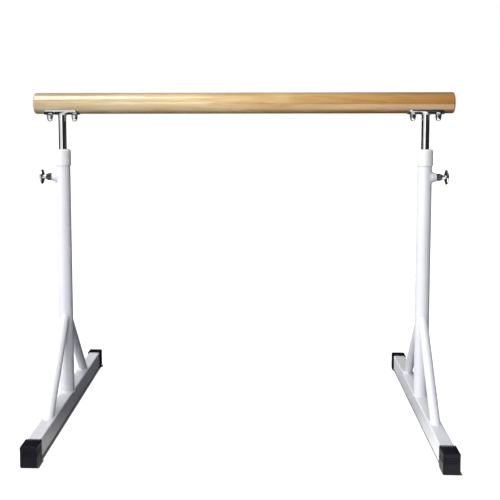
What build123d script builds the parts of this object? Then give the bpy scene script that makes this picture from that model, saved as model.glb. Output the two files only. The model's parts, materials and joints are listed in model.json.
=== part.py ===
from build123d import *
import os

# A free-standing practice barre: one round wooden rail on two T-shaped steel stands.
# Each stand is a floor tube with rubber end caps, an upright post with two sloping braces,
# and a chromed mast that slides up and down in the post and is locked by a spring pull pin.
# Millimetres, +Z up, +X along the rail, -Y is the front.
# The origin is on the floor, midway between the two stands.

# Rail
rail_length = 1000.0
rail_radius = 25.0
rail_end_round = 4.0
rail_axis_height = 755.0

# Stands
stand_spacing = 870.0
foot_length = 700.0
foot_tube_width = 30.0
foot_tube_height = 40.0
foot_tube_wall = 1.5
foot_tube_corner = 2.5

# Rubber end caps on the foot tubes
cap_wall = 3.0
cap_end_wall = 4.0
front_cap_length = 42.0
rear_cap_length = 27.0
cap_corner = 4.0
cap_front_round = 2.5
cap_groove_depth = 1.3
cap_groove_width = 2.2
cap_top_groove_count = 6
cap_top_groove_pitch = 5.0
cap_tooth_length = 7.0
cap_band_heights = (25.0, 30.0, 35.0)

# Post and braces
post_radius = 17.0
post_wall = 1.5
post_top_height = 641.0
brace_radius = 11.0
brace_wall = 1.5
brace_foot_reach = 180.0
brace_apex_height = 247.0

# Plastic collar that caps the post and guides the mast
collar_radius = 19.0
collar_skirt = 36.0
collar_cover = 4.0
collar_sleeve = 40.0
collar_top_round = 5.0
collar_foot_chamfer = 1.2

# Mast
mast_radius = 9.5
mast_wall = 1.5
mast_bottom_height = 288.0
mast_clearance = 0.3
mast_hole_radius = 4.5
mast_hole_pitch = 50.0
mast_holes_above_pin = 1
mast_holes_below_pin = 5
guide_length = 22.0
guide_floor = 4.0
guide_clearance = 0.3
guide_drain_radius = 3.0
guide_chamfer = 1.0

# Saddle plate that carries the rail, and its fasteners
saddle_thickness = 2.0
saddle_length = 85.0
saddle_width = 38.0
saddle_corner = 8.0
bolt_spacing = 60.0
bolt_radius = 4.0
bolt_hole_radius = 4.5
bolt_depth_in_rail = 32.0
bolt_thread_in_nut = 10.0
bolt_tip_chamfer = 1.5
washer_radius = 8.0
washer_bore_radius = 4.2
washer_thickness = 1.6
nut_across_flats = 13.0
nut_hex_height = 6.5
nut_total_height = 15.0
nut_dome_radius = 6.2
nut_bore_depth = 11.0
nut_corner_radius = 7.1
nut_corner_chamfer = 0.8

# Spring pull pin. Distances along the pin are measured outwards from the post's axis.
pin_height = 578.0
pin_radius = 4.0
pin_tip = 5.0
pin_tip_chamfer = 1.0
pin_flange_start = 18.2
pin_flange_thickness = 2.0
pin_flange_radius = 5.5
pin_shoulder = 44.0
pin_stud_end = 53.0
pin_stud_radius = 3.0
boss_end = 27.0
boss_base_radius = 13.0
boss_end_radius = 9.6
barrel_start = 16.0
barrel_thread_radius = 8.0
barrel_taper_start = 37.0
barrel_end = 41.0
barrel_head_radius = 8.5
barrel_nose_radius = 6.2
barrel_bore_clearance = 0.1
chamber_radius = 5.7
chamber_end = 38.0
retainer_thickness = 2.0
spring_wire_radius = 0.45
spring_coil_radius = 4.95
spring_turns = 6
spring_end_gap = 0.1
knob_start = 41.6
knob_hub_radius = 5.2
knob_hub_length = 6.2
knob_face_bulge = 0.6
knob_rim_radius = 17.5
knob_rim_inner = 50.4
knob_rim_outer = 52.6
knob_end = 57.6

# Heights and places that follow from the sizes above
foot_top = cap_wall + foot_tube_height
tube_end = foot_length / 2 - cap_end_wall
saddle_radius = rail_radius + saddle_thickness
saddle_bottom = rail_axis_height - saddle_radius
washer_bottom = saddle_bottom - washer_thickness
post_bore = post_radius - post_wall
through = 200.0


def rod_z(radius, bottom, top):
    """A solid cylinder on the Z axis between two heights."""
    return Pos(0, 0, (bottom + top) / 2) * Cylinder(radius, top - bottom)


def tube_z(radius, bore, bottom, top):
    """A round tube on the Z axis between two heights."""
    return rod_z(radius, bottom, top) - rod_z(bore, bottom, top)


def rod_x(radius, start, end):
    """A solid cylinder on the X axis between two distances."""
    return Pos((start + end) / 2, 0, 0) * Rot(0, 90, 0) * Cylinder(radius, end - start)


def turned_x(points):
    """A solid turned about the X axis from (distance, radius) points."""
    outline = Polyline(*points, close=True)
    return revolve(Plane.XY * make_face(outline), Axis.X)


def rail():
    """The wooden rail, with rounded ends and four blind holes for the hanger bolts."""
    bar = rod_x(rail_radius, -rail_length / 2, rail_length / 2)
    bar = fillet(bar.edges(), rail_end_round)
    hole_top = bolt_depth_in_rail - rail_radius
    for stand in (-stand_spacing / 2, stand_spacing / 2):
        for offset in (-bolt_spacing / 2, bolt_spacing / 2):
            bar -= Pos(stand + offset, 0, 0) * rod_z(bolt_radius, -rail_radius - 1, hole_top)
    return Pos(0, 0, rail_axis_height) * bar


def saddle():
    """The curved plate that hugs the underside of the rail."""
    shell = rod_x(saddle_radius, -saddle_length / 2, saddle_length / 2)
    shell -= rod_x(rail_radius, -saddle_length / 2, saddle_length / 2)
    outline = RectangleRounded(saddle_length, saddle_width, saddle_corner)
    plate = shell & extrude(outline, -saddle_radius)
    for offset in (-bolt_spacing / 2, bolt_spacing / 2):
        plate -= Pos(offset, 0, 0) * rod_z(bolt_hole_radius, -saddle_radius - 1, -rail_radius + 5)
    return Pos(0, 0, rail_axis_height) * plate


def at_bolts(piece):
    """One copy of a fastener at each of a saddle's two bolts."""
    return [Pos(offset, 0, 0) * piece for offset in (-bolt_spacing / 2, bolt_spacing / 2)]


def hanger_bolts():
    top = rail_axis_height - rail_radius + bolt_depth_in_rail
    bolt = rod_z(bolt_radius, washer_bottom - bolt_thread_in_nut, top)
    bolt = chamfer(bolt.edges().filter_by(GeomType.CIRCLE), bolt_tip_chamfer)
    return at_bolts(bolt)


def washers():
    return at_bolts(tube_z(washer_radius, washer_bore_radius, washer_bottom, saddle_bottom))


def acorn_nuts():
    """Hexagon nuts with a domed, closed end that points down."""
    hexagon = RegularPolygon(nut_across_flats / 2, 6, major_radius=False)
    nut = Pos(0, 0, washer_bottom) * extrude(hexagon, -nut_hex_height)
    corner_trim = rod_z(nut_corner_radius, washer_bottom - nut_hex_height, washer_bottom)
    nut &= chamfer(corner_trim.edges().filter_by(GeomType.CIRCLE), nut_corner_chamfer)
    dome_centre = washer_bottom - nut_total_height + nut_dome_radius
    nut += rod_z(nut_dome_radius, dome_centre, washer_bottom - nut_hex_height)
    nut += Pos(0, 0, dome_centre) * Sphere(nut_dome_radius)
    nut -= rod_z(bolt_radius, washer_bottom - nut_bore_depth, washer_bottom)
    return at_bolts(nut)


def mast():
    """The chromed tube, coped to the saddle at the top, with locking holes on its outer side."""
    tube = tube_z(mast_radius, mast_radius - mast_wall, mast_bottom_height, rail_axis_height)
    tube -= Pos(0, 0, rail_axis_height) * rod_x(saddle_radius, -saddle_length, saddle_length)
    for step in range(-mast_holes_below_pin, mast_holes_above_pin + 1):
        height = pin_height + step * mast_hole_pitch
        tube -= Pos(0, 0, height) * rod_x(mast_hole_radius, 0, mast_radius + 1)
    return tube


def mast_guide():
    """The plastic plug on the mast's lower end, which slides in the post."""
    bottom = mast_bottom_height - guide_floor
    plug = rod_z(post_bore - guide_clearance, bottom, bottom + guide_length)
    plug = chamfer(plug.edges().filter_by(GeomType.CIRCLE), guide_chamfer)
    plug -= rod_z(mast_radius, mast_bottom_height, bottom + guide_length)
    return plug - rod_z(guide_drain_radius, bottom, mast_bottom_height)


def post():
    """The upright tube, with the hole that the pull pin's barrel goes through."""
    tube = tube_z(post_radius, post_bore, foot_top, post_top_height)
    return tube - Pos(0, 0, pin_height) * rod_x(barrel_thread_radius, 0, post_radius + 1)


def collar():
    """The plastic cap of the post: an outer skirt, a top cover and a sleeve round the mast."""
    top = post_top_height + collar_cover
    body = rod_z(collar_radius, post_top_height - collar_skirt, top)
    body = fillet(body.edges().group_by(Axis.Z)[-1], collar_top_round)
    body = chamfer(body.edges().group_by(Axis.Z)[0], collar_foot_chamfer)
    body -= rod_z(post_radius, 0, post_top_height)
    body += rod_z(post_bore, post_top_height - collar_sleeve, post_top_height)
    return body - rod_z(mast_radius + mast_clearance, 0, top)


def brace():
    """The front brace: a sloping tube, cut to fit the post and the top of the foot tube."""
    foot = Vector(0, -brace_foot_reach, foot_top)
    apex = Vector(0, 0, brace_apex_height)
    slope = (apex - foot).normalized()
    start = foot - slope * 2 * brace_radius
    length = (apex - start).length
    plane = Plane(origin=start, z_dir=slope)
    tube = extrude(plane * (Circle(brace_radius) - Circle(brace_radius - brace_wall)), length)
    tube -= rod_z(post_radius, 0, rail_axis_height)
    tube -= Pos(0, -brace_foot_reach, foot_top - through / 2) * Box(through, through, through)
    return tube


def lengthwise(section, start, length):
    """A front-to-back extrusion of a section that is centred on the foot tube's axis."""
    centre = cap_wall + foot_tube_height / 2
    plane = Plane(origin=(0, start, centre), x_dir=(1, 0, 0), z_dir=(0, 1, 0))
    return extrude(plane * section, length)


def foot_tube():
    """The floor tube, which runs front to back."""
    outer = RectangleRounded(foot_tube_width, foot_tube_height, foot_tube_corner)
    inner = RectangleRounded(
        foot_tube_width - 2 * foot_tube_wall,
        foot_tube_height - 2 * foot_tube_wall,
        foot_tube_corner - foot_tube_wall,
    )
    return lengthwise(outer - inner, -tube_end, 2 * tube_end)


def cap(cap_length):
    """A front rubber cap: a ribbed boot over the end of the foot tube, with a toothed top lip."""
    width = foot_tube_width + 2 * cap_wall
    height = foot_tube_height + 2 * cap_wall
    front = -foot_length / 2
    body = lengthwise(RectangleRounded(width, height, cap_corner), front, cap_length)
    body = fillet(body.edges().group_by(Axis.Y)[0], cap_front_round)
    pocket = RectangleRounded(foot_tube_width, foot_tube_height, foot_tube_corner)
    body -= lengthwise(pocket, -tube_end, cap_length)
    middle = (cap_top_groove_count - 1) / 2
    groove_run = cap_length - 2 * cap_end_wall
    for index in range(cap_top_groove_count):
        across = (index - middle) * cap_top_groove_pitch
        along = front + cap_length - groove_run / 2
        groove = Box(cap_groove_width, groove_run, 2 * cap_groove_depth)
        body -= Pos(across, along, height) * groove
        gap = Box(cap_groove_width, cap_tooth_length, 2 * cap_wall)
        body -= Pos(across, front + cap_length - cap_tooth_length / 2, height) * gap
    band = Box(width, cap_length, cap_groove_width)
    band -= Box(width - 2 * cap_groove_depth, cap_length - 2 * cap_groove_depth, cap_groove_width)
    for band_height in cap_band_heights:
        body -= Pos(0, front + cap_length / 2, band_height) * band
    return body


def pin_boss():
    """The tapered boss welded to the post, bored for the barrel's thread."""
    boss = turned_x([(0, 0), (0, boss_base_radius), (post_radius, boss_base_radius),
                     (boss_end, boss_end_radius), (boss_end, 0)])
    boss -= rod_x(barrel_thread_radius, 0, boss_end)
    boss = Pos(0, 0, pin_height) * boss
    boss -= rod_z(post_radius, 0, post_top_height)
    return boss.solids().sort_by(Axis.X)[-1]


def pin_barrel():
    """The threaded barrel that holds the pin and its spring."""
    barrel = turned_x([(barrel_start, 0), (barrel_start, barrel_thread_radius),
                       (boss_end, barrel_thread_radius), (boss_end, barrel_head_radius),
                       (barrel_taper_start, barrel_head_radius),
                       (barrel_end, barrel_nose_radius), (barrel_end, 0)])
    barrel -= rod_x(chamber_radius, barrel_start, chamber_end)
    barrel -= rod_x(pin_radius + barrel_bore_clearance, barrel_start, barrel_end)
    return Pos(0, 0, pin_height) * barrel


def pin_retainer():
    """The ring pressed into the barrel's inner end, which stops the pin's flange."""
    end = barrel_start + retainer_thickness
    ring = rod_x(chamber_radius, barrel_start, end)
    ring -= rod_x(pin_radius + barrel_bore_clearance, barrel_start, end)
    return Pos(0, 0, pin_height) * ring


def pin_spring():
    """The compression spring between the pin's flange and the barrel's nose."""
    start = pin_flange_start + pin_flange_thickness + spring_wire_radius + spring_end_gap
    length = chamber_end - spring_wire_radius - spring_end_gap - start
    line = Helix(length / spring_turns, length, spring_coil_radius)
    section = Plane(origin=line @ 0, z_dir=line % 0) * Circle(spring_wire_radius)
    coil = sweep(section, path=line, is_frenet=True)
    return Pos(start, 0, pin_height) * Rot(0, 90, 0) * coil


def pull_pin():
    """The locking pin: a round bar with a flange for the spring and a stud for the knob."""
    pin = rod_x(pin_radius, pin_tip, pin_shoulder)
    pin = chamfer(pin.edges().group_by(Axis.X)[0], pin_tip_chamfer)
    pin += rod_x(pin_flange_radius, pin_flange_start, pin_flange_start + pin_flange_thickness)
    pin += rod_x(pin_stud_radius, pin_shoulder, pin_stud_end)
    return Pos(0, 0, pin_height) * pin


def pin_knob():
    """The lens-shaped pull knob: a hub, a slightly bulging inner face, a rim and a low dome."""
    hub_end = knob_start + knob_hub_length
    inner_face = ThreePointArc(
        (hub_end, knob_hub_radius),
        ((hub_end + knob_rim_inner) / 2 - knob_face_bulge, (knob_hub_radius + knob_rim_radius) / 2),
        (knob_rim_inner, knob_rim_radius),
    )
    dome = TangentArc((knob_end, 0), (knob_rim_outer, knob_rim_radius), tangent=(0, 1))
    stepped_bore = Polyline(
        (knob_end, 0),
        (pin_stud_end, 0),
        (pin_stud_end, pin_stud_radius),
        (pin_shoulder, pin_stud_radius),
        (pin_shoulder, pin_radius),
        (knob_start, pin_radius),
        (knob_start, knob_hub_radius),
        inner_face @ 0,
    )
    outline = Curve() + [stepped_bore, inner_face, Line(inner_face @ 1, dome @ 1), dome]
    return Pos(0, 0, pin_height) * revolve(make_face(outline), Axis.X)


def save(name, solids):
    """Writes one node, made of a list of separate solids."""
    pieces = [solid.solid() for solid in solids]
    shape = Compound(children=pieces) if len(pieces) > 1 else pieces[0]
    export_step(shape, f"parts/{name}.step")


# The right stand is built with its post on the Z axis, and its pull pin points along +X.
# Moving it out gives the right stand. Turning that half a turn about Z gives the left one.
# Braces and caps are built at the front, and half a turn takes a copy to the rear.
half_turn = Rot(0, 0, 180)
right = Pos(stand_spacing / 2, 0, 0)
left = Pos(-stand_spacing / 2, 0, 0)

same_on_both_stands = {
    "saddle": saddle(),
    "hanger_bolts": hanger_bolts(),
    "washers": washers(),
    "acorn_nuts": acorn_nuts(),
    "mast": mast(),
    "mast_guide": mast_guide(),
    "post": post(),
    "collar": collar(),
    "foot_tube": foot_tube(),
    "pin_boss": pin_boss(),
    "pin_barrel": pin_barrel(),
    "pin_retainer": pin_retainer(),
    "pin_spring": pin_spring(),
    "pull_pin": pull_pin(),
    "pin_knob": pin_knob(),
}
front_and_rear = {
    "brace": (brace(), brace()),
    "cap": (cap(front_cap_length), cap(rear_cap_length)),
}

os.makedirs("parts", exist_ok=True)
save("rail", rail())
for side, place, facing in (("left", left, half_turn), ("right", right, Rot(0, 0, 0))):
    for name, shape in same_on_both_stands.items():
        solids = shape if isinstance(shape, list) else [shape]
        save(f"{side}_{name}", [place * facing * solid for solid in solids])
    for name, (front, rear) in front_and_rear.items():
        save(f"{side}_front_{name}", [place * front])
        save(f"{side}_rear_{name}", [place * half_turn * rear])
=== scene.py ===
import json
import math
import random

import bmesh
import bpy
from mathutils import Matrix, Vector


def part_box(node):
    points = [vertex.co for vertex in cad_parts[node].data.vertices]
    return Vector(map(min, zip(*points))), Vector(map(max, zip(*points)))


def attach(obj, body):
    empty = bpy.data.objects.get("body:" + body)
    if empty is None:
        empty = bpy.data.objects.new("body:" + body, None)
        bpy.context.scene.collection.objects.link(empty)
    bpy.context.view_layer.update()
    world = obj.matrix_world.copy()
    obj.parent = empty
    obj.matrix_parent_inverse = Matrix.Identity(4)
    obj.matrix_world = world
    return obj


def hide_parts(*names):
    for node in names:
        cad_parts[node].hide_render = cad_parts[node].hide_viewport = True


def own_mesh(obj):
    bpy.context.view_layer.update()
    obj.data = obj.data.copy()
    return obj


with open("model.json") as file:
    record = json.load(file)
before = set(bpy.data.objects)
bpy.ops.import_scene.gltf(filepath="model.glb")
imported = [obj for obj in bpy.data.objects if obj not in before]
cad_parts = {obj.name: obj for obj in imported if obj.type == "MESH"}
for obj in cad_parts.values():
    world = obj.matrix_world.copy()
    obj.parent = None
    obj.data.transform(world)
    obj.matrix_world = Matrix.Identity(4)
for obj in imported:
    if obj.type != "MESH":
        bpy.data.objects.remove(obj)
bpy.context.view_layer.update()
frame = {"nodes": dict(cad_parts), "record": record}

# The two stands and the two ends of a foot, each with the sign of its side of the origin.
STANDS = (("left", -1), ("right", 1))
ENDS = (("front", -1), ("rear", 1))

# Camera: place in metres, angles in degrees, lens in millimetres on a 36 mm wide sensor.
CAMERA_PLACE = (0.055, -2.006, 0.749)
CAMERA_TURN = 2.42
CAMERA_TILT_DOWN = 5.08
CAMERA_ROLL = -0.10
CAMERA_LENS = 60.19
CAMERA_SHIFT = (0.04, -0.14)

# Studio. The window is a bright direction at the front left. It fades out between the two cosines of
# WINDOW_FADE. The sweep is the front part of the floor, which shows in the chrome and the varnish.
LIGHT_TARGET = 0.42
WINDOW_SIDE = (-0.616, -0.788, 0.0)
WINDOW_FADE = (0.80, 0.90)
WINDOW_RADIANCE = 0.9
OVERHEAD = (-0.30, -0.10, 0.95)
OVERHEAD_FADE = (0.30, 0.95)
OVERHEAD_RADIANCE = (0.035, 0.36)
FLOOR_REACH = 40.0
SWEEP_FAR = 2.7
SWEEP_HALF_WIDTH = 1.1
SWEEP_EDGE = 0.2
SWEEP_LEFT_SHARE = 0.42
SWEEP_RADIANCE = 2.6
DIM_RADIANCE = 0.03

# Weld beads and springs.
BEAD_SIDES = 10
BEAD_LIFT = 0.0003
SPRING_WIRE_RADIUS = 0.00045
SPRING_WIRE_SIDES = 10
SPRING_TURNS = 6
SPRING_STEPS = 40

# A direction that no swept strip follows, so that its rings never collapse.
OFF_AXIS = Vector((0.13, 0.21, 0.97))


# ---------------------------------------------------------------- places, read from the frame

def middle(node):
    """The centre of a node's box."""
    low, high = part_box(node)
    return (low + high) / 2


def size(node):
    """The lengths of a node's box along X, Y and Z."""
    low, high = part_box(node)
    return high - low


rail_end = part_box("rail")[1].x
rail_axis_z = middle("rail").z
post_radius = size("right_post").x / 2
brace_radius = size("right_front_brace").x / 2
mast_radius = size("right_mast").x / 2
foot_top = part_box("right_post")[0].z
pin_height = middle("right_pull_pin").z
saddle_radius = rail_axis_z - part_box("right_saddle")[0].z
stand_x = middle("right_post").x

# A brace's slope, as its run and rise for each metre of its length. Where it is cut level at the foot,
# its section is an ellipse that reaches brace_foot_half to each side of its centre.
brace_run = 0.6616
brace_rise = math.sqrt(1 - brace_run ** 2)
brace_foot_half = brace_radius / brace_rise


# ---------------------------------------------------------------- camera

def make_camera():
    """The camera at the height of the rail, looking slightly down and across the barre."""
    data = bpy.data.cameras.new("camera")
    data.sensor_width = 36
    data.lens = CAMERA_LENS
    data.shift_x, data.shift_y = CAMERA_SHIFT
    data.clip_start = 0.05
    data.clip_end = 60
    camera = bpy.data.objects.new("camera", data)
    bpy.context.scene.collection.objects.link(camera)
    turn = Matrix.Rotation(math.radians(CAMERA_TURN), 4, "Z")
    tilt = Matrix.Rotation(math.radians(90 - CAMERA_TILT_DOWN), 4, "X")
    roll = Matrix.Rotation(math.radians(CAMERA_ROLL), 4, "Z")
    camera.matrix_world = Matrix.Translation(CAMERA_PLACE) @ turn @ tilt @ roll
    bpy.context.scene.camera = camera


# ---------------------------------------------------------------- light and floor

def area_light(name, azimuth, height, distance, width, tall, radiance, colour=(1, 1, 1)):
    """A soft box that faces the barre.

    Azimuth 0 is straight in front of the barre, and 90 is at its right.
    """
    data = bpy.data.lights.new(name, "AREA")
    data.shape = "RECTANGLE"
    data.size = width
    data.size_y = tall
    data.energy = radiance * math.pi * width * tall
    data.color = colour
    light = bpy.data.objects.new(name, data)
    bpy.context.scene.collection.objects.link(light)
    turn = math.radians(azimuth)
    light.location = (distance * math.sin(turn), -distance * math.cos(turn), height)
    aim = Vector((0, 0, LIGHT_TARGET)) - light.location
    light.rotation_mode = "QUATERNION"
    light.rotation_quaternion = aim.to_track_quat("-Z", "Y")
    light.visible_camera = False
    return light


class Nodes:
    """Short calls for building the node trees of the studio."""

    def __init__(self, tree):
        tree.nodes.clear()
        self.tree = tree

    def node(self, kind, **values):
        made = self.tree.nodes.new(kind)
        for name, value in values.items():
            socket = made.inputs[name.replace("_", " ")]
            if isinstance(value, bpy.types.NodeSocket):
                self.tree.links.new(value, socket)
            else:
                socket.default_value = value
        return made

    def ramp(self, value, low, high, to_low, to_high):
        made = self.node("ShaderNodeMapRange", Value=value, From_Min=low, From_Max=high,
                         To_Min=to_low, To_Max=to_high)
        return made.outputs["Result"]

    def arithmetic(self, operation, first, second):
        made = self.tree.nodes.new("ShaderNodeMath")
        made.operation = operation
        self.tree.links.new(first, made.inputs[0])
        self.tree.links.new(second, made.inputs[1])
        return made.outputs[0]

    def times(self, first, second):
        return self.arithmetic("MULTIPLY", first, second)

    def larger(self, first, second):
        return self.arithmetic("MAXIMUM", first, second)

    def towards(self, direction, vector):
        """How far a vector points in a direction."""
        made = self.tree.nodes.new("ShaderNodeVectorMath")
        made.operation = "DOT_PRODUCT"
        made.inputs[1].default_value = direction
        self.tree.links.new(vector, made.inputs[0])
        return made.outputs["Value"]

    def either(self, choice, first, second):
        """The first shader, or the second one where choice is 1."""
        made = self.tree.nodes.new("ShaderNodeMixShader")
        self.tree.links.new(choice, made.inputs[0])
        self.tree.links.new(first.outputs[0], made.inputs[1])
        self.tree.links.new(second.outputs[0], made.inputs[2])
        return made

    def finish(self, shader, kind):
        output = self.tree.nodes.new(kind)
        self.tree.links.new(shader.outputs[0], output.inputs[0])


def make_world():
    """A studio that is bright at the front left, pale overhead, and dim on the right and behind."""
    world = bpy.data.worlds.new("studio")
    world.use_nodes = True
    n = Nodes(world.node_tree)
    direction = n.node("ShaderNodeTexCoord").outputs["Generated"]
    window_side = n.ramp(n.towards(WINDOW_SIDE, direction), *WINDOW_FADE, 0.0, WINDOW_RADIANCE)
    overhead = n.ramp(n.towards(OVERHEAD, direction), *OVERHEAD_FADE, *OVERHEAD_RADIANCE)
    studio = n.node("ShaderNodeBackground", Color=(0.96, 0.97, 1.0, 1),
                    Strength=n.larger(window_side, overhead))
    backdrop = n.node("ShaderNodeBackground", Color=(1, 1, 1, 1))
    camera_ray = n.node("ShaderNodeLightPath").outputs["Is Camera Ray"]
    n.finish(n.either(camera_ray, studio, backdrop), "ShaderNodeOutputWorld")
    bpy.context.scene.world = world


def sweep_level(n, place):
    """How bright the floor looks in a reflection, at each place on it."""
    ahead = n.towards((0.0, -1.0, 0.0), place)
    near = n.ramp(ahead, SWEEP_FAR + 0.10, SWEEP_FAR, 0.0, 1.0)
    front = n.ramp(ahead, 0.0, 0.35, 0.0, 1.0)
    aside = n.node("ShaderNodeSeparateXYZ", Vector=place).outputs["X"]
    width = n.times(n.ramp(aside, -SWEEP_HALF_WIDTH - SWEEP_EDGE, -SWEEP_HALF_WIDTH, 0.0, 1.0),
                    n.ramp(aside, SWEEP_HALF_WIDTH + SWEEP_EDGE, SWEEP_HALF_WIDTH, 0.0, 1.0))
    width = n.times(width, n.ramp(aside, 0.05, 0.45, SWEEP_LEFT_SHARE, 1.0))
    level = n.ramp(n.times(n.times(near, front), width), 0.0, 1.0, DIM_RADIANCE, SWEEP_RADIANCE)
    bearing = n.tree.nodes.new("ShaderNodeVectorMath")
    bearing.operation = "NORMALIZE"
    n.tree.links.new(place, bearing.inputs[0])
    window = n.ramp(n.towards(WINDOW_SIDE, bearing.outputs["Vector"]), *WINDOW_FADE, 0.0,
                    WINDOW_RADIANCE)
    return n.larger(level, window)


def floor_paint():
    """White to the camera, dim to the light it bounces, and bright only in its front part to mirrors."""
    paint = bpy.data.materials.new("floor")
    paint.use_nodes = True
    n = Nodes(paint.node_tree)
    pale = n.node("ShaderNodeBsdfDiffuse", Color=(0.43, 0.43, 0.433, 1))
    dim = n.node("ShaderNodeBsdfDiffuse", Color=(0.052, 0.054, 0.066, 1))
    place = n.node("ShaderNodeTexCoord").outputs["Object"]
    sweep = n.node("ShaderNodeEmission", Color=(1.0, 0.96, 0.88, 1), Strength=sweep_level(n, place))
    path = n.node("ShaderNodeLightPath")
    lit = n.either(path.outputs["Is Diffuse Ray"], pale, dim)
    n.finish(n.either(path.outputs["Is Glossy Ray"], lit, sweep), "ShaderNodeOutputMaterial")
    return paint


def make_floor():
    """A plain pale floor."""
    mesh = bpy.data.meshes.new("floor")
    builder = bmesh.new()
    bmesh.ops.create_grid(builder, x_segments=1, y_segments=1, size=FLOOR_REACH)
    builder.to_mesh(mesh)
    builder.free()
    floor = bpy.data.objects.new("floor", mesh)
    bpy.context.scene.collection.objects.link(floor)
    mesh.materials.append(floor_paint())
    return floor


def linked(name, objects, state="INCLUDE"):
    """A collection of the objects that a light falls on, or with EXCLUDE, of those that it misses."""
    collection = bpy.data.collections.new(name)
    for entry in objects:
        collection.objects.link(entry)
    for link in collection.collection_objects:
        link.light_linking.link_state = state
    return collection


def floor_light(name, energy, spread, lean, floor):
    """An even light from above that falls only on the floor, and so keeps it white far away."""
    data = bpy.data.lights.new(name, "SUN")
    data.energy = energy
    data.angle = math.radians(spread)
    light = bpy.data.objects.new(name, data)
    light.rotation_euler = (0, -math.radians(lean), 0)
    bpy.context.scene.collection.objects.link(light)
    light.light_linking.receiver_collection = linked(f"{name}_receivers", [floor])
    return light


def light_floor(floor):
    """Keeps the floor white, with a dark line of shadow along the right side of each foot."""
    floor_light("floor_soft", 0.5, 60, 0, floor)
    feet = [frame["nodes"][f"{side}_{part}"] for side, _ in STANDS
            for part in ("foot_tube", "front_cap", "rear_cap")]
    contact = floor_light("floor_contact", 8.1, 2, 6, floor)
    contact.light_linking.blocker_collection = linked("floor_contact_blockers", feet)


def light_barre(floor):
    """The soft boxes, none of which light the floor. The first three don't show in reflections."""
    boxes = [
        area_light("key", -84, 0.68, 8.0, 3.6, 1.3, 27.0, (1.0, 0.995, 0.98)),
        area_light("fill", -9, 1.5, 3.2, 2.2, 1.8, 7.3),
        area_light("rear", -160, 1.7, 3.2, 2.2, 1.8, 5.0),
        area_light("window", -11, 0.74, 3.4, 0.62, 1.5, 2.2),
        area_light("top", -50, 3.2, 1.6, 1.8, 1.6, 5.4),
    ]
    for light in boxes[:3]:
        light.visible_glossy = False
    all_but_floor = linked("studio_light_receivers", [floor], "EXCLUDE")
    for light in boxes:
        light.light_linking.receiver_collection = all_but_floor


# ---------------------------------------------------------------- materials

# The wood's colour from the left end of the rail, at 0, to the right end, at 1. The darkening towards
# the right end is partly the wood's own tone and partly painted shade for light that falls off away from
# the left.
WOOD_TONES_AND_PAINTED_SHADE = (
    (0.00, (0.500, 0.405, 0.235)),
    (0.18, (0.590, 0.480, 0.275)),
    (0.40, (0.680, 0.515, 0.265)),
    (0.55, (0.640, 0.450, 0.195)),
    (0.75, (0.500, 0.300, 0.098)),
    (1.00, (0.355, 0.160, 0.031)),
)


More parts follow.
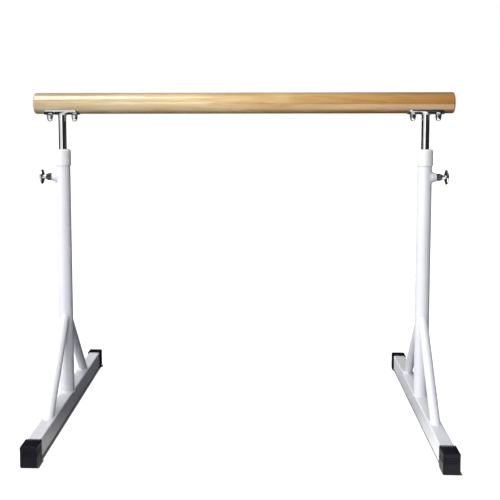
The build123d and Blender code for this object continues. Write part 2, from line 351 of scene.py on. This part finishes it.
class Material:
    """A procedural material: a Principled shader, with short calls for the nodes that feed it."""

    def __init__(self, name, colour, roughness, metallic=0.0):
        self.data = bpy.data.materials.new(name)
        self.data.use_nodes = True
        self.tree = self.data.node_tree
        self.shader = self.tree.nodes["Principled BSDF"]
        self.shader.inputs["Base Color"].default_value = (*colour, 1)
        self.shader.inputs["Roughness"].default_value = roughness
        self.shader.inputs["Metallic"].default_value = metallic
        self.place = self.tree.nodes.new("ShaderNodeTexCoord").outputs["Object"]

    def stretched(self, scale):
        """The place on the object, scaled along X, Y and Z."""
        node = self.tree.nodes.new("ShaderNodeMapping")
        node.inputs["Scale"].default_value = scale
        self.tree.links.new(self.place, node.inputs["Vector"])
        return node.outputs[0]

    def noise(self, scale, detail=4.0, roughness=0.55, where=None, distortion=0.0):
        """Soft random values with a mean near one half."""
        node = self.tree.nodes.new("ShaderNodeTexNoise")
        node.inputs["Scale"].default_value = scale
        node.inputs["Detail"].default_value = detail
        node.inputs["Roughness"].default_value = roughness
        node.inputs["Distortion"].default_value = distortion
        self.tree.links.new(where or self.place, node.inputs["Vector"])
        return node.outputs["Fac"]

    def axis(self, name):
        """One coordinate of the place on the object, in metres."""
        node = self.tree.nodes.new("ShaderNodeSeparateXYZ")
        self.tree.links.new(self.place, node.inputs[0])
        return node.outputs[name]

    def remap(self, value, low, high, to_low=0.0, to_high=1.0):
        """Rescales a value from one range to another, and clamps it."""
        node = self.tree.nodes.new("ShaderNodeMapRange")
        node.inputs["From Min"].default_value = low
        node.inputs["From Max"].default_value = high
        node.inputs["To Min"].default_value = to_low
        node.inputs["To Max"].default_value = to_high
        self.tree.links.new(value, node.inputs["Value"])
        return node.outputs[0]

    def math(self, operation, first, second):
        """One arithmetic step on two values, either of which may be a plain number."""
        node = self.tree.nodes.new("ShaderNodeMath")
        node.operation = operation
        for socket, value in zip(node.inputs, (first, second)):
            if isinstance(value, (int, float)):
                socket.default_value = value
            else:
                self.tree.links.new(value, socket)
        return node.outputs[0]

    def mix(self, factor, first, second, blend="MIX"):
        """Blends two colours."""
        node = self.tree.nodes.new("ShaderNodeMix")
        node.data_type = "RGBA"
        node.blend_type = blend
        sockets = [s for s in node.inputs if s.type == "RGBA"]
        for socket, value in zip(sockets, (first, second)):
            if isinstance(value, tuple):
                socket.default_value = (*value, 1)
            else:
                self.tree.links.new(value, socket)
        if isinstance(factor, (int, float)):
            node.inputs["Factor"].default_value = factor
        else:
            self.tree.links.new(factor, node.inputs["Factor"])
        return next(s for s in node.outputs if s.type == "RGBA")

    def ramp(self, value, stops):
        """A colour for each value from 0 to 1, from (value, colour) stops."""
        node = self.tree.nodes.new("ShaderNodeValToRGB")
        elements = node.color_ramp.elements
        while len(elements) < len(stops):
            elements.new(0.5)
        for element, (position, colour) in zip(elements, stops):
            element.position = position
            element.color = (*colour, 1)
        self.tree.links.new(value, node.inputs[0])
        return node.outputs[0]

    def colour(self, value):
        self.tree.links.new(value, self.shader.inputs["Base Color"])

    def roughness(self, value):
        self.tree.links.new(value, self.shader.inputs["Roughness"])

    def bump(self, height, distance, strength):
        """Raises the surface by up to distance, in metres, where height is 1."""
        node = self.tree.nodes.new("ShaderNodeBump")
        node.inputs["Distance"].default_value = distance
        node.inputs["Strength"].default_value = strength
        self.tree.links.new(height, node.inputs["Height"])
        self.tree.links.new(node.outputs[0], self.shader.inputs["Normal"])

    def set(self, **sockets):
        """Plain values for the shader's own sockets, with _ for each space."""
        for name, value in sockets.items():
            self.shader.inputs[name.replace("_", " ")].default_value = value
        return self


def wood():
    """Clear-varnished pale timber with its grain along X, sandy on the left and tan on the right. The
    tan is partly the wood's own tone and partly painted shade for light falling off towards the right.
    """
    m = Material("varnished_wood", (0.7, 0.5, 0.3), 0.35)
    along = m.axis("X")
    warp_reach = 0.10
    warp = m.noise(1.0, 3, 0.5, m.stretched((2.2, 14, 14)))
    warped = m.math("ADD", along, m.math("MULTIPLY", warp, warp_reach))
    # Painted shade: tone runs from 0 at the left end to 1 at the right end, and the ramp darkens the
    # wood along it, partly as the wood's own colour and partly as painted shade for light falling off
    # away from the left.
    tone = m.remap(warped, warp_reach / 2 - rail_end, warp_reach / 2 + rail_end)
    pale = m.ramp(tone, WOOD_TONES_AND_PAINTED_SHADE)
    dark = m.mix(1.0, pale, (0.70, 0.57, 0.42), "MULTIPLY")
    rings = m.tree.nodes.new("ShaderNodeTexWave")
    rings.wave_type = "BANDS"
    rings.bands_direction = "Z"
    rings.inputs["Scale"].default_value = 46
    rings.inputs["Distortion"].default_value = 5.5
    rings.inputs["Detail"].default_value = 3
    rings.inputs["Detail Scale"].default_value = 0.9
    m.tree.links.new(m.stretched((0.10, 0.8, 1.0)), rings.inputs["Vector"])
    ring_tone = m.remap(rings.outputs["Fac"], 0.25, 0.95)
    fibre = m.noise(1.0, 5, 0.62, m.stretched((9, 420, 420)))
    streaks = m.noise(1.0, 4, 0.6, m.stretched((9, 110, 110)), 0.6)
    figure = m.noise(1.0, 4, 0.55, m.stretched((5.5, 34, 34)), 0.8)
    base = m.mix(m.math("MULTIPLY", ring_tone, 0.30), pale, dark)
    base = m.mix(m.remap(figure, 0.44, 0.68, 0, 0.60), base, dark)
    base = m.mix(m.remap(streaks, 0.50, 0.64, 0, 0.72), base, dark)
    base = m.mix(m.remap(fibre, 0.50, 0.78, 0, 0.40), base, dark)
    m.colour(base)
    m.roughness(m.remap(fibre, 0.3, 0.8, 0.26, 0.42))
    m.bump(m.math("ADD", fibre, m.math("MULTIPLY", streaks, 0.5)), 0.00012, 0.55)
    return m.set(Coat_Weight=1.0, Coat_Roughness=0.09, Coat_IOR=1.65).data


def chrome(name, tint, base_roughness, scratch_scale):
    """Bright plating with a faint haze, fine polishing lines and a few dull patches."""
    m = Material(name, tint, base_roughness, 1.0)
    lines = m.noise(1.0, 3, 0.6, m.stretched(scratch_scale))
    haze = m.noise(38, 4, 0.6)
    patch = m.remap(haze, 0.5, 0.85, 0.0, 0.10)
    fine = m.remap(lines, 0.35, 0.8, 0.0, 0.05)
    total = m.math("ADD", m.math("ADD", patch, fine), base_roughness)
    m.roughness(total)
    dull = tuple(c * 0.86 for c in tint)
    m.colour(m.mix(m.remap(haze, 0.45, 0.8), tint, dull))
    m.bump(lines, 0.000004, 0.25)
    return m.data


def steel(name, tint, base_roughness):
    """Zinc-plated or turned steel: a satin, slightly blotchy metal."""
    m = Material(name, tint, base_roughness, 1.0)
    blotch = m.noise(160, 4, 0.6)
    m.roughness(m.remap(blotch, 0.3, 0.75, base_roughness, base_roughness + 0.22))
    m.colour(m.mix(m.remap(blotch, 0.35, 0.75), tint, tuple(c * 0.72 for c in tint)))
    m.bump(m.noise(900, 3, 0.5), 0.00002, 0.4)
    return m.data


def powder_coat():
    """White powder coat: a fine orange peel, slightly mottled, with faint dust near the floor."""
    m = Material("white_powder_coat", (0.68, 0.69, 0.73), 0.36)
    peel = m.noise(620, 3, 0.5)
    cloud = m.noise(9, 4, 0.6)
    speckle = m.noise(240, 4, 0.7)
    base = m.mix(m.remap(cloud, 0.35, 0.70), (0.715, 0.722, 0.760), (0.650, 0.657, 0.700))
    base = m.mix(m.remap(speckle, 0.56, 0.74, 0, 0.35), base, (0.49, 0.495, 0.555))
    low = m.remap(m.axis("Z"), 0.0, 0.06, 0.28, 0.0)
    dust = m.math("MULTIPLY", low, m.remap(m.noise(55, 5, 0.65), 0.40, 0.66))
    base = m.mix(dust, base, (0.40, 0.39, 0.40))
    m.colour(base)
    m.roughness(m.remap(speckle, 0.3, 0.75, 0.30, 0.46))
    m.bump(peel, 0.00006, 0.5)
    return m.set(Coat_Weight=0.12, Coat_Roughness=0.2).data


def collar_plastic():
    """Injection-moulded white plastic, a little warmer and duller than the paint."""
    m = Material("white_moulded_plastic", (0.73, 0.725, 0.71), 0.42)
    mottle = m.noise(150, 4, 0.65)
    base = m.mix(m.remap(mottle, 0.4, 0.7), (0.760, 0.758, 0.752), (0.680, 0.676, 0.668))
    scuff = m.noise(1.0, 4, 0.6, m.stretched((70, 70, 500)))
    base = m.mix(m.remap(scuff, 0.62, 0.8, 0, 0.5), base, (0.52, 0.51, 0.50))
    m.colour(base)
    m.roughness(m.remap(mottle, 0.3, 0.75, 0.34, 0.52))
    m.bump(mottle, 0.00008, 0.6)
    return m.set(Subsurface_Weight=0.06, Subsurface_Scale=0.004).data


def rubber():
    """Black moulded rubber with a fine grain, a faint bloom and a little dust."""
    m = Material("black_rubber", (0.008, 0.008, 0.012), 0.60)
    grain = m.noise(900, 4, 0.6)
    bloom = m.noise(60, 4, 0.6)
    base = m.mix(m.remap(bloom, 0.40, 0.72), (0.004, 0.004, 0.008), (0.010, 0.010, 0.017))
    base = m.mix(m.remap(grain, 0.60, 0.82, 0, 0.4), base, (0.032, 0.032, 0.044))
    m.colour(base)
    m.roughness(m.remap(bloom, 0.3, 0.75, 0.46, 0.66))
    m.bump(grain, 0.00006, 0.6)
    return m.set(Specular_IOR_Level=0.14).data


def threaded_steel():
    """Blackened turned steel with a fine thread round it."""
    m = Material("blackened_steel", (0.10, 0.10, 0.11), 0.34, 1.0)
    blotch = m.noise(220, 4, 0.6)
    thread = m.tree.nodes.new("ShaderNodeTexWave")
    thread.wave_type = "BANDS"
    thread.bands_direction = "X"
    thread.inputs["Scale"].default_value = 250
    m.tree.links.new(m.place, thread.inputs["Vector"])
    m.colour(m.mix(m.remap(blotch, 0.35, 0.75), (0.13, 0.13, 0.14), (0.06, 0.06, 0.065)))
    m.roughness(m.remap(blotch, 0.3, 0.75, 0.28, 0.46))
    m.bump(thread.outputs["Fac"], 0.0004, 0.8)
    return m.data


def nylon():
    """Dark moulded nylon."""
    m = Material("black_nylon", (0.03, 0.03, 0.034), 0.5)
    fleck = m.noise(300, 4, 0.6)
    m.colour(m.mix(m.remap(fleck, 0.4, 0.75), (0.028, 0.028, 0.032), (0.06, 0.06, 0.066)))
    m.roughness(m.remap(fleck, 0.3, 0.8, 0.42, 0.6))
    m.bump(fleck, 0.00005, 0.5)
    return m.data


# ---------------------------------------------------------------- pieces

def swept(name, points, radii, sides, closed, body, finish):
    """A round strip along a row of points, with its own radius at each of them."""
    count = len(points)
    mesh = bpy.data.meshes.new(name)
    builder = bmesh.new()
    rings = []
    for index, point in enumerate(points):
        before = points[index - 1] if closed or index else point
        after = points[(index + 1) % count] if closed or index < count - 1 else point
        along = (after - before).normalized()
        side = along.cross(OFF_AXIS).normalized()
        up = side.cross(along)
        ring = []
        for step in range(sides):
            angle = 2 * math.pi * step / sides
            reach = math.cos(angle) * side + math.sin(angle) * up
            ring.append(builder.verts.new(point + radii[index] * reach))
        rings.append(ring)
    for index in range(count if closed else count - 1):
        ring, following = rings[index], rings[(index + 1) % count]
        for step in range(sides):
            other = (step + 1) % sides
            builder.faces.new((ring[step], ring[other], following[other], following[step]))
    if not closed:
        builder.faces.new(rings[0])
        builder.faces.new(rings[-1])
    bmesh.ops.recalc_face_normals(builder, faces=builder.faces)
    builder.to_mesh(mesh)
    builder.free()
    for face in mesh.polygons:
        face.use_smooth = len(face.vertices) == 4
    mesh.materials.append(finish)
    piece = bpy.data.objects.new(name, mesh)
    bpy.context.scene.collection.objects.link(piece)
    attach(piece, body)
    return piece


def ribbon(name, points, thickness, body, finish, ripples, seed):
    """A weld bead along a closed row of points, with the overlapping ripples of a weld."""
    chance = random.Random(seed)
    radii = []
    wobble = 0.0
    for index in range(len(points)):
        wobble = 0.8 * wobble + 0.2 * chance.uniform(-1, 1)
        phase = ripples * index / len(points) % 1.0
        radii.append(thickness * (0.86 + 0.14 * math.sqrt(phase) + 0.16 * wobble))
    swept(name, points, radii, BEAD_SIDES, True, body, finish)


def spring(side, sign, finish):
    """A compression spring with closed end turns. On the real pin it shortens as the pin is pulled; here
    it keeps one length on the stand's frame.
    """
    node = f"{side}_pin_spring"
    low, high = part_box(node)
    wire = SPRING_WIRE_RADIUS
    coil = (high.y - low.y) / 2 - wire
    inner, outer = sorted((abs(low.x), abs(high.x)))
    start, end = inner + wire, outer - wire
    closed = 2 * wire
    open_rise = (end - start - 2 * closed) / (SPRING_TURNS - 2)
    points = []
    for index in range(SPRING_TURNS * SPRING_STEPS + 1):
        turn = index / SPRING_STEPS
        rise = closed * min(turn, 1) + open_rise * min(max(turn - 1, 0), SPRING_TURNS - 2)
        rise += closed * max(turn - SPRING_TURNS + 1, 0)
        angle = 2 * math.pi * turn
        points.append(Vector((sign * (start + rise), coil * math.cos(angle),
                              pin_height + coil * math.sin(angle))))
    piece = swept(f"{side}_spring_coil", points, [wire] * len(points), SPRING_WIRE_SIDES, False,
                  "stand_frame", finish)
    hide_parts(node)
    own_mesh(piece)


def turns(count):
    """Evenly spaced angles round a full turn."""
    return [2 * math.pi * index / count for index in range(count)]


def post_weld(side, sign, paint):
    """The bead round the post's foot."""
    reach = post_radius + BEAD_LIFT
    points = [Vector((sign * stand_x + reach * math.cos(a), reach * math.sin(a), foot_top + BEAD_LIFT))
              for a in turns(240)]
    ribbon(f"{side}_post_weld", points, 0.0019, "stand_frame", paint, 52, 11 + sign)


def brace_welds(side, sign, end, way, paint):
    """The beads at a brace's foot, on the floor tube, and at its top, on the post."""
    x = sign * stand_x
    low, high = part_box(f"{side}_{end}_brace")
    foot_y = (high.y if way > 0 else low.y) - way * brace_foot_half
    half_length = brace_foot_half + BEAD_LIFT
    half_width = brace_radius + BEAD_LIFT
    at_foot = [Vector((x + half_width * math.cos(a), foot_y + half_length * math.sin(a),
                       foot_top + BEAD_LIFT)) for a in turns(200)]
    ribbon(f"{side}_{end}_brace_foot_weld", at_foot, 0.0017, "stand_frame", paint, 40,
           21 + sign + way)
    at_post = []
    for a in turns(260):
        across = brace_radius * math.cos(a)
        depth = math.sqrt(post_radius ** 2 - across ** 2) + BEAD_LIFT
        run = abs(foot_y) - depth + brace_radius * brace_rise * math.sin(a)
        height = foot_top + run * brace_rise / brace_run + brace_radius * brace_run * math.sin(a)
        at_post.append(Vector((x + across, way * depth, height)))
    ribbon(f"{side}_{end}_brace_top_weld", at_post, 0.0016, "stand_frame", paint, 70,
           31 + sign + way)


def boss_weld(side, sign, paint):
    """The bead where the pull pin's boss meets the round post."""
    reach = size(f"{side}_pin_boss").y / 2 + BEAD_LIFT
    points = []
    for a in turns(220):
        y = reach * math.cos(a)
        out = math.sqrt((post_radius + BEAD_LIFT) ** 2 - y ** 2)
        points.append(Vector((sign * (stand_x + out), y, pin_height + reach * math.sin(a))))
    ribbon(f"{side}_pin_boss_weld", points, 0.0013, "stand_frame", paint, 56, 41 + sign)


def mast_weld(side, sign, plating):
    """The bead where the mast meets the curved saddle."""
    reach = mast_radius + BEAD_LIFT
    points = []
    for a in turns(200):
        y = reach * math.sin(a)
        drop = math.sqrt((saddle_radius + BEAD_LIFT) ** 2 - y ** 2)
        points.append(Vector((sign * stand_x + reach * math.cos(a), y, rail_axis_z - drop)))
    ribbon(f"{side}_mast_weld", points, 0.0017, "rail_carriage", plating, 44, 51 + sign)


def weld_beads(side, sign, paint, plating):
    """The welds of one stand, and the weld between its mast and its saddle."""
    post_weld(side, sign, paint)
    for end, way in ENDS:
        brace_welds(side, sign, end, way, paint)
    boss_weld(side, sign, paint)
    mast_weld(side, sign, plating)


def dress(node, finish):
    """Gives a CAD node its material."""
    mesh = frame["nodes"][node].data
    mesh.materials.clear()
    mesh.materials.append(finish)


make_camera()
make_world()
the_floor = make_floor()
light_floor(the_floor)
light_barre(the_floor)

finishes = {
    "wood": wood(),
    "chrome_plate": chrome("chrome_plate", (0.82, 0.83, 0.85), 0.09, (40, 700, 700)),
    "chrome_mast": chrome("chrome_mast", (0.80, 0.81, 0.84), 0.05, (900, 900, 12)),
    "chrome_nut": chrome("chrome_nut", (0.80, 0.81, 0.82), 0.07, (300, 300, 300)),
    "pin_chrome": chrome("pin_chrome", (0.74, 0.75, 0.77), 0.09, (500, 60, 60)),
    "dark_steel": threaded_steel(),
    "zinc": steel("zinc_plate", (0.66, 0.67, 0.69), 0.28),
    "pin_steel": steel("turned_steel", (0.52, 0.53, 0.55), 0.24),
    "spring_steel": steel("spring_wire", (0.36, 0.37, 0.39), 0.30),
    "guide_plastic": nylon(),
    "collar_plastic": collar_plastic(),
    "white_paint": powder_coat(),
    "rubber": rubber(),
}
for entry in frame["record"]["subparts"]:
    dress(entry["node"], finishes[entry["material_slot"]])

for side, sign in STANDS:
    weld_beads(side, sign, finishes["white_paint"], finishes["chrome_plate"])
    spring(side, sign, finishes["spring_steel"])

view = bpy.context.scene.view_settings
view.view_transform = "Standard"
view.look = "None"
